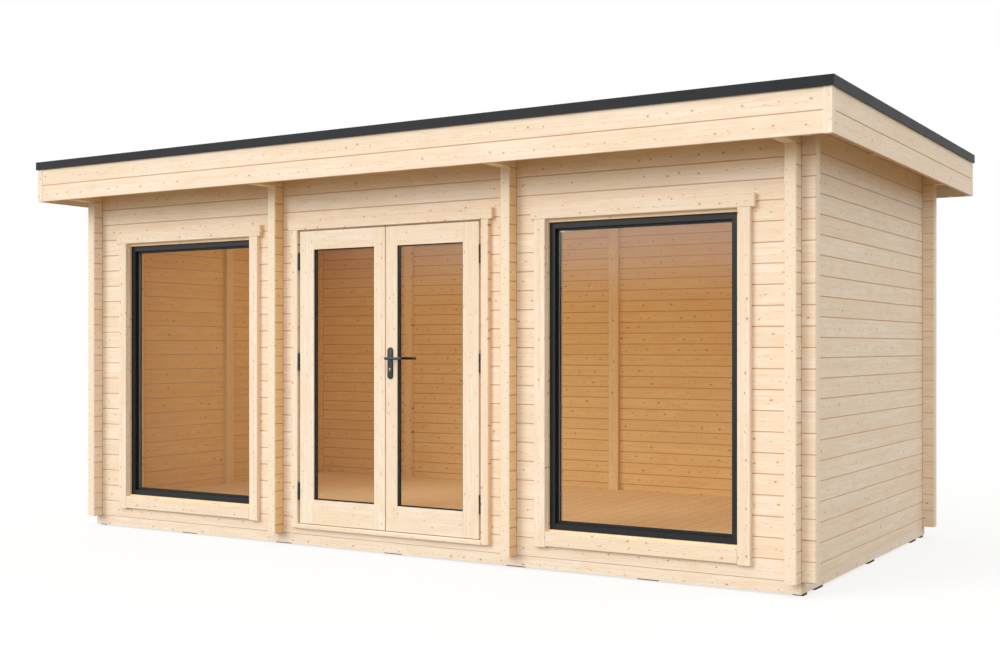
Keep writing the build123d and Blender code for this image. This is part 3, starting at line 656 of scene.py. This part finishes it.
glassSettings = {
    "mirror": (0.92, 0.95, 0.94, 1.0),
    "through": (0.955, 0.968, 0.960, 1.0),
    "slant": 1.17,              # the index that sets how much more a slanting look mirrors
    "waveScale": 2.4,
    "rough": (0.02, 0.005),
    "bump": (0.10, 0.0008),
    "veil": 0.08,               # painted reflection: how much more mirror-like the head of a pane is made
    "veilDrop": 0.50,           # how far down from the head that reaches
    "veilAcross": (-0.9, 1.4),  # it grows from left to right along the front
}


def paneGlass(name):
    # clear pane: light goes straight through, and more is mirrored at a slant; a painted reflection makes the
    # head of each pane more mirror-like
    finish, shader, place = newFinish(name)
    tree = finish.node_tree
    shader.inputs["Metallic"].default_value = 1.0
    shader.inputs["Base Color"].default_value = glassSettings["mirror"]
    wave = place.noise(place, glassSettings["waveScale"])
    added, own = glassSettings["rough"]
    (wave * added + own).feed(shader, "Roughness")
    place.bump(wave, *glassSettings["bump"]).feed(shader, "Normal")
    clear = tree.nodes.new("ShaderNodeBsdfTransparent")
    clear.inputs[0].default_value = glassSettings["through"]
    slant = place.node("ShaderNodeFresnel", {}, {"IOR": glassSettings["slant"]})
    sideways, _, height = place.axes()
    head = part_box("window_glass")[1].z
    # painted reflection: the head of the pane mirrors more, growing from left to right
    atHead = height.fade(head - glassSettings["veilDrop"], head)
    veil = atHead * sideways.fade(*glassSettings["veilAcross"]) * glassSettings["veil"]
    mixed = tree.nodes.new("ShaderNodeMixShader")
    (slant + veil).feed(mixed, 0)
    tree.links.new(clear.outputs[0], mixed.inputs[1])
    tree.links.new(shader.outputs[0], mixed.inputs[2])
    tree.links.new(mixed.outputs[0], tree.nodes["Material Output"].inputs[0])
    return finish


sheetFinish = roofSheet()
glassFinish = paneGlass("pane glass")
print("other finishes made")

nodeFinishes = {
    "ground_pads": padRubber, "sill_beams": sillWood, "floor_joists": joistWood, "floor_boards": floorWood,
    "front_bottom_log": logAlong, "front_wall_left": logAlong, "front_wall_right": logAlong,
    "front_wall_over_door": logAlong, "back_wall": logBack, "left_wall": logAcross, "right_wall": logAcross,
    "front_column_left": logColumn, "front_column_right": logColumn, "long_top_logs": logAlong,
    "cross_top_logs": logAcross, "middle_purlin": purlinWood, "wall_battens": battenWood,
    "roof_boards": deckWood, "roof_kerb": kerbWood, "roof_membrane": sheetFinish, "fascia_boards": fasciaWood,
    "fascia_posts": postWood, "fascia_hangers": postWood, "roof_edge_trim": trimMetal,
    "window_linings": liningWood, "left_window_frame": frameMetal, "right_window_frame": frameMetal,
    "window_glass": glassFinish, "window_casings": casingWood, "door_casings": doorCasingWood,
    "door_frame": jambWood, "door_threshold": thresholdWood, "left_leaf": leafWoods[0],
    "right_leaf": leafWoods[1], "left_leaf_glass": glassFinish, "right_leaf_glass": glassFinish,
    "left_leaf_gaskets": sealRubber, "right_leaf_gaskets": sealRubber, "left_leaf_hinges": hingeMetal,
    "right_leaf_hinges": hingeMetal, "frame_hinges": hingeMetal, "handle_plates": hingeMetal,
    "handle_levers": hingeMetal,
}
for nodeName, finish in nodeFinishes.items():
    slots = nodes[nodeName].material_slots
    if len(slots) == 0:
        nodes[nodeName].data.materials.append(finish)
    for slot in slots:
        slot.material = finish
print("node finishes set")


# bmesh helpers

meshSettings = {
    "roundSteps": 2,
    "sharpAngle": 35.0,     # degrees; flatter edges are shaded smooth
    "level": 1e-6,          # ends this close in depth make a level edge
}


def roundEdges(mesh, edges, size, steps=meshSettings["roundSteps"]):
    bmesh.ops.bevel(mesh, geom=list(edges), offset=size, segments=steps, profile=0.5, affect="EDGES",
                    material=-1)


def addBox(mesh, low, high, edge=0.0):
    size = [b - a for a, b in zip(low, high)]
    middle = [(a + b) / 2 for a, b in zip(low, high)]
    shape = Matrix.Translation(middle) @ Matrix.Diagonal((*size, 1.0))
    made = bmesh.ops.create_cube(mesh, size=1.0, matrix=shape)
    if edge:
        roundEdges(mesh, {e for v in made["verts"] for e in v.link_edges}, edge)


def addRing(mesh, low, high, width):
    # a flat picture frame in the XZ plane with bars of one width, given by its outer corners
    size = [b - a for a, b in zip(low, high)]
    flat = (Matrix.Translation(((low[0] + high[0]) / 2, low[1], (low[2] + high[2]) / 2))
            @ Matrix.Rotation(math.pi / 2, 4, "X") @ Matrix.Diagonal((size[0], size[2], 1.0, 1.0)))
    quad = bmesh.ops.create_grid(mesh, x_segments=1, y_segments=1, size=0.5, matrix=flat)
    middle = quad["verts"][0].link_faces[0]
    bars = bmesh.ops.inset_individual(mesh, faces=[middle], thickness=width, use_even_offset=True)["faces"]
    bmesh.ops.delete(mesh, geom=[middle], context="FACES_ONLY")
    grown = bmesh.ops.extrude_face_region(mesh, geom=bars)["geom"]
    corners = [v for v in grown if isinstance(v, bmesh.types.BMVert)]
    bmesh.ops.translate(mesh, verts=corners, vec=(0.0, size[1], 0.0))


def addRod(mesh, start, end, radius, sides, edge=0.0):
    # a round bar between two points
    start, end = Vector(start), Vector(end)
    turn = (end - start).to_track_quat("Z", "Y").to_matrix().to_4x4()
    place = Matrix.Translation((start + end) / 2) @ turn
    made = bmesh.ops.create_cone(mesh, cap_ends=True, segments=sides, radius1=radius, radius2=radius,
                                 depth=(end - start).length, matrix=place)
    if edge:
        edges = {e for v in made["verts"] for e in v.link_edges}
        roundEdges(mesh, [e for e in edges if any(len(f.verts) > 4 for f in e.link_faces)], edge)


def finishPiece(name, mesh, finish, body, smooth=False):
    bmesh.ops.recalc_face_normals(mesh, faces=mesh.faces)
    data = bpy.data.meshes.new(name)
    mesh.to_mesh(data)
    mesh.free()
    data.materials.append(finish)
    if smooth:
        data.shade_smooth()
        data.set_sharp_from_angle(angle=math.radians(meshSettings["sharpAngle"]))
    piece = bpy.data.objects.new(name, data)
    bpy.context.scene.collection.objects.link(piece)
    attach(piece, body)
    return piece


def jointPlace(name):
    return next(joint["pos_m"] for joint in frame["joints"] if joint["name"] == name)


# dark spacer bars inside the double panes, and the seals that hold the window panes

paneSettings = {
    "sheet": 0.004,         # thickness of each glass sheet
    "slack": 0.0005,        # between a spacer and the edge of its pane
    "spacerShow": 0.0015,   # how far a spacer shows past the timber or metal
    "windowBite": 0.0115,   # how far a spacer lies behind the metal
    "seal": 0.005,
    "sealThick": 0.0030,
    "sealOff": 0.0001,      # between a seal and the glass
    "frameShow": 0.044,     # width of the metal round a window pane
}
sheetThick, slack = paneSettings["sheet"], paneSettings["slack"]

for side in ("left", "right"):
    low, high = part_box(side + "_leaf_glass")
    mesh = bmesh.new()
    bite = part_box(side + "_leaf_gaskets")[0].x - low.x
    addRing(mesh, (low.x + slack, low.y + sheetThick, low.z + slack),
            (high.x - slack, high.y - sheetThick, high.z - slack), bite + paneSettings["spacerShow"])
    finishPiece(side + "LeafSpacer", mesh, spacerFinish, side + "_door")

glassLow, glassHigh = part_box("window_glass")
windowPaneHalf = liningHalf - paneSettings["frameShow"]
spacerHalf = windowPaneHalf + paneSettings["windowBite"]
paneFoot, paneHead = linedLow.z + paneSettings["frameShow"], linedHigh.z - paneSettings["frameShow"]
for side, middle in (("left", -windowMiddle), ("right", windowMiddle)):
    mesh = bmesh.new()
    addRing(mesh, (middle - spacerHalf, glassLow.y + sheetThick, glassLow.z + slack),
            (middle + spacerHalf, glassHigh.y - sheetThick, glassHigh.z - slack),
            paneSettings["windowBite"] + paneSettings["spacerShow"])
    finishPiece(side + "WindowSpacer", mesh, windowSpacer, "pod")
    mesh = bmesh.new()
    for y0, y1 in ((glassLow.y - paneSettings["sealThick"], glassLow.y - paneSettings["sealOff"]),
                   (glassHigh.y + paneSettings["sealOff"], glassHigh.y + paneSettings["sealThick"])):
        addRing(mesh, (middle - windowPaneHalf, y0, paneFoot), (middle + windowPaneHalf, y1, paneHead),
                paneSettings["seal"])
    finishPiece(side + "WindowSeals", mesh, sealRubber, "pod")
print("spacers and seals made")


# handle: a rounded plate and a round-edged lever on each face of the right leaf

handleSettings = {
    "plateEdge": 0.0028,
    "plateSides": 46,
    "plateSteps": 3,        # of the rounding
    "leverThick": 0.012,
    "leverHigh": 0.017,
    "leverEdge": 0.0055,
    "neckRadius": 0.0075,
    "collarRadius": 0.0098,
    "collarLength": 0.006,
    "collarGap": 0.0005,    # between the collar and its plate
    "collarEdge": 0.0012,
    "neckBite": 0.004,      # how far the neck goes into the lever
    "neckSides": 32,
    "spindleRadius": 0.0040,
    "spindleSides": 16,
    "lockBelow": 0.068,     # from the lever down to the lock
    "lockRadius": 0.0062,
    "lockFoot": 0.6,        # radius of the lock's lower round, as a share of the upper
    "lockDrop": 0.0105,
    "lockProud": 0.0012,
    "lockSides": 28,
    "lockEdge": 0.0004,
    "screwRadius": 0.0030,
    "screwInset": 0.014,    # from the ends of the plate
    "screwProud": 0.0006,
    "screwSides": 20,
    "screwEdge": 0.0008,
}


def addSlotPlate(mesh, middle, width, height, yInner, yOuter, edge):
    # an upright plate with half-round ends, rounded over at its outer edge
    flat = Matrix.Translation((middle[0], yInner, middle[1])) @ Matrix.Rotation(math.pi / 2, 4, "X")
    made = bmesh.ops.create_circle(mesh, cap_ends=True, segments=handleSettings["plateSides"],
                                   radius=width / 2, matrix=flat)["verts"]
    shift = (height - width) / 2
    for vert in made:
        vert.co.z += shift if vert.co.z > middle[1] else -shift
    face = next(f for f in made[0].link_faces)
    grown = bmesh.ops.extrude_face_region(mesh, geom=[face])["geom"]
    outer = [v for v in grown if isinstance(v, bmesh.types.BMVert)]
    bmesh.ops.translate(mesh, verts=outer, vec=(0.0, yOuter - yInner, 0.0))
    edges = {e for v in outer for e in v.link_edges}
    rim = [e for e in edges if abs(e.verts[0].co.y - e.verts[1].co.y) < meshSettings["level"]]
    roundEdges(mesh, rim, edge, handleSettings["plateSteps"])


plateLow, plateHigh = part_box("handle_plates")
leverLow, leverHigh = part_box("handle_levers")
spindle = jointPlace("lever_turn")
lockZ = spindle[2] - handleSettings["lockBelow"]
leverHalf = handleSettings["leverHigh"] / 2

plates = bmesh.new()
locks = bmesh.new()
levers = bmesh.new()
plateMiddle = ((plateLow.x + plateHigh.x) / 2, (plateLow.z + plateHigh.z) / 2)
screwHeights = (plateLow.z + handleSettings["screwInset"], plateHigh.z - handleSettings["screwInset"])
lockRadius = handleSettings["lockRadius"]
lockRounds = ((lockRadius, lockZ),
              (lockRadius * handleSettings["lockFoot"], lockZ - handleSettings["lockDrop"]))
bothFaces = ((rightLeafLow.y, plateLow.y, leverLow.y), (rightLeafHigh.y, plateHigh.y, leverHigh.y))
for inner, outer, leverEnd in bothFaces:
    way = 1.0 if outer > inner else -1.0
    addSlotPlate(plates, plateMiddle, plateHigh.x - plateLow.x, plateHigh.z - plateLow.z, inner, outer,
                 handleSettings["plateEdge"])
    screwEnd = outer + way * handleSettings["screwProud"]
    for z in screwHeights:
        addRod(plates, (plateMiddle[0], inner, z), (plateMiddle[0], screwEnd, z),
               handleSettings["screwRadius"], handleSettings["screwSides"], handleSettings["screwEdge"])
    lockEnd = outer + way * handleSettings["lockProud"]
    for radius, z in lockRounds:
        addRod(locks, (plateMiddle[0], inner, z), (plateMiddle[0], lockEnd, z), radius,
               handleSettings["lockSides"], handleSettings["lockEdge"])
    bar = leverEnd - way * handleSettings["leverThick"]
    addBox(levers, (spindle[0] - leverHalf, min(bar, leverEnd), spindle[2] - leverHalf),
           (leverHigh.x, max(bar, leverEnd), spindle[2] + leverHalf), handleSettings["leverEdge"])
    collar = outer + way * handleSettings["collarGap"]
    collarEnd = collar + way * handleSettings["collarLength"]
    neckEnd = bar + way * handleSettings["neckBite"]
    addRod(levers, (spindle[0], collar, spindle[2]), (spindle[0], collarEnd, spindle[2]),
           handleSettings["collarRadius"], handleSettings["neckSides"], handleSettings["collarEdge"])
    addRod(levers, (spindle[0], collar, spindle[2]), (spindle[0], neckEnd, spindle[2]),
           handleSettings["neckRadius"], handleSettings["neckSides"])
addRod(levers, (spindle[0], plateLow.y, spindle[2]), (spindle[0], plateHigh.y, spindle[2]),
       handleSettings["spindleRadius"], handleSettings["spindleSides"])
platePiece = finishPiece("handlePlates", plates, hingeMetal, "right_door", smooth=True)
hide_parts("handle_plates")
leverPiece = finishPiece("handleLevers", levers, hingeMetal, "lever", smooth=True)
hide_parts("handle_levers")
finishPiece("lockCylinder", locks, lockMetal, "right_door", smooth=True)
print("handle made")


# lift-off hinges: a round knuckle and a plate on the leaf, and the same with a pin on the frame

hingeSettings = {
    "rises": (0.213, 1.080),    # above the foot of the leaf
    "topDrop": 0.199,
    "halfHeight": 0.057,
    "radius": 0.0060,
    "sides": 28,
    "edge": 0.0006,
    "gap": 0.0006,              # between the two knuckles
    "pin": 0.0030,
    "pinSides": 16,
    "pinReach": (0.004, 0.022),     # below and above the gap
    "plate": 0.0020,
    "plateReach": 0.034,
    "halfGap": 0.0085,
}


def addHingeHalf(mesh, axisX, axisY, low, high, way):
    # a knuckle, the arm behind it and the plate in the gap; way points from the knuckle to the plate
    addRod(mesh, (axisX, axisY, low), (axisX, axisY, high), hingeSettings["radius"], hingeSettings["sides"],
           hingeSettings["edge"])
    face = axisX + way * hingeSettings["halfGap"]
    near = face - way * hingeSettings["plate"]
    addBox(mesh, (min(axisX, face), axisY, low), (max(axisX, face), axisY + hingeSettings["plate"], high))
    addBox(mesh, (min(near, face), axisY, low), (max(near, face), axisY + hingeSettings["plateReach"], high))


frameHinge = bmesh.new()
halfGap = hingeSettings["gap"] / 2
pinDown, pinUp = hingeSettings["pinReach"]
for side, way, leafFoot, leafHead in (("left", 1.0, leftLeafLow.z, leftLeafHigh.z),
                                      ("right", -1.0, rightLeafLow.z, rightLeafHigh.z)):
    axisX, axisY = jointPlace(side + "_door_swing")[:2]
    leafHinge = bmesh.new()
    heights = [leafFoot + rise for rise in hingeSettings["rises"]] + [leafHead - hingeSettings["topDrop"]]
    for z in heights:
        addHingeHalf(leafHinge, axisX, axisY, z + halfGap, z + hingeSettings["halfHeight"], way)
        addHingeHalf(frameHinge, axisX, axisY, z - hingeSettings["halfHeight"], z - halfGap, -way)
        addRod(frameHinge, (axisX, axisY, z - pinDown), (axisX, axisY, z + pinUp), hingeSettings["pin"],
               hingeSettings["pinSides"])
    leafPiece = finishPiece(side + "LeafHinges", leafHinge, hingeMetal, side + "_door",
                            smooth=True)
    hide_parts(side + "_leaf_hinges")
framePiece = finishPiece("frameHinges", frameHinge, hingeMetal, "pod", smooth=True)
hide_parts("frame_hinges")
print("hinges made")


# the roof sheet turned up against the kerb, under the edge trim

upstandSettings = {
    "thick": 0.0018,
    "trimLeg": 0.040,       # how far the edge trim comes down inside
    "under": 0.0004,
    "sink": 0.001,          # how far the upstand goes into the flat sheet
    "edge": 0.0006,
}
mesh = bmesh.new()
foot = sheetHigh.z - upstandSettings["sink"]
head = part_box("roof_edge_trim")[1].z - upstandSettings["trimLeg"] - upstandSettings["under"]
thick = upstandSettings["thick"]
for y in (sheetLow.y, sheetHigh.y - thick):
    addBox(mesh, (sheetLow.x, y, foot), (sheetHigh.x, y + thick, head), upstandSettings["edge"])
for x in (sheetLow.x, sheetHigh.x - thick):
    addBox(mesh, (x, sheetLow.y + thick, foot), (x + thick, sheetHigh.y - thick, head),
           upstandSettings["edge"])
finishPiece("roofUpstand", mesh, sheetFinish, "pod")
print("roof upstand made")


# floor, backdrop and light

stageSettings = {
    "floorColour": (134, 134, 132),
    "floorPatch": (128, 128, 126),
    "patchScale": 0.7,
    "patchDetail": 3.0,
    "patchFade": (0.3, 0.7),
    "patchTint": 0.05,
    "floorRough": 0.9,
    "floorGlow": 0.74,
    "floorRadius": 60.0,
    "floorSides": 96,
    "skyStrength": 1.10,
    "sunStrength": 1.42,
    "sunFrom": (-0.60, -0.95, 0.46),
    "sunSpread": 35.0,
    "roomLamp": 21.0,
    "roomColour": (1.0, 0.90, 0.62),
    "roomShare": (0.8, 0.6),    # the lamp's size, as shares of the room's
    "roomDrop": 0.15,           # below the roof boards
}


def seenShare(wire):
    # 1 where the background is seen, by the camera, in a mirror or through glass
    def ray(name):
        return wire.node("ShaderNodeLightPath", {}, {}, name)
    seen = ray("Is Camera Ray")
    for name in ("Is Glossy Ray", "Is Transmission Ray"):
        seen = seen.sum("MAXIMUM", seen, ray(name))
    return seen


def floorFinish():
    # a pale floor that reads as white and still takes a soft shadow
    finish, shader, place = newFinish("pale floor")
    tree = finish.node_tree
    mottle = place.noise(place, stageSettings["patchScale"], stageSettings["patchDetail"])
    patches = mottle.fade(*stageSettings["patchFade"]) * stageSettings["patchTint"]
    colour = place.tint(patches, linear(*stageSettings["floorColour"]), linear(*stageSettings["floorPatch"]))
    colour.feed(shader, "Base Color")
    shader.inputs["Roughness"].default_value = stageSettings["floorRough"]
    shader.inputs["Specular IOR Level"].default_value = 0.0
    glow = tree.nodes.new("ShaderNodeEmission")
    (seenShare(place) * stageSettings["floorGlow"]).feed(glow, "Strength")
    both = tree.nodes.new("ShaderNodeAddShader")
    tree.links.new(shader.outputs[0], both.inputs[0])
    tree.links.new(glow.outputs[0], both.inputs[1])
    tree.links.new(both.outputs[0], tree.nodes["Material Output"].inputs[0])
    return finish


mesh = bmesh.new()
bmesh.ops.create_circle(mesh, cap_ends=True, segments=stageSettings["floorSides"],
                        radius=stageSettings["floorRadius"])
floorData = bpy.data.meshes.new("floor")
mesh.to_mesh(floorData)
mesh.free()
floorData.materials.append(floorFinish())
floor = bpy.data.objects.new("floor", floorData)
bpy.context.scene.collection.objects.link(floor)

world = bpy.data.worlds.new("studio")
world.use_nodes = True
bpy.context.scene.world = world
sky = world.node_tree.nodes["Background"]
sky.inputs[0].default_value = (1.0, 1.0, 1.0, 1.0)
share = seenShare(Wire(world.node_tree, sky.outputs[0]))
(share * (1.0 - stageSettings["skyStrength"]) + stageSettings["skyStrength"]).feed(sky, "Strength")

sunData = bpy.data.lights.new("sun", "SUN")
sunData.energy = stageSettings["sunStrength"]
sunData.angle = math.radians(stageSettings["sunSpread"])
sun = bpy.data.objects.new("sun", sunData)
sun.rotation_euler = Vector(stageSettings["sunFrom"]).to_track_quat("Z", "Y").to_euler()
bpy.context.scene.collection.objects.link(sun)

# a wide dim lamp under the roof boards, unseen itself, for the warm light in the room
roomData = bpy.data.lights.new("room lamp", "AREA")
roomData.shape = "RECTANGLE"
roomData.size = (roomHigh.x - roomLow.x) * stageSettings["roomShare"][0]
roomData.size_y = (roomHigh.y - roomLow.y) * stageSettings["roomShare"][1]
roomData.energy = stageSettings["roomLamp"]
roomData.color = stageSettings["roomColour"]
roomLamp = bpy.data.objects.new("room lamp", roomData)
roomLamp.location = (0.0, depthMiddle, roomHigh.z - stageSettings["roomDrop"])
roomLamp.visible_camera = False
roomLamp.visible_glossy = False
roomLamp.visible_transmission = False
bpy.context.scene.collection.objects.link(roomLamp)
print("stage and light set")
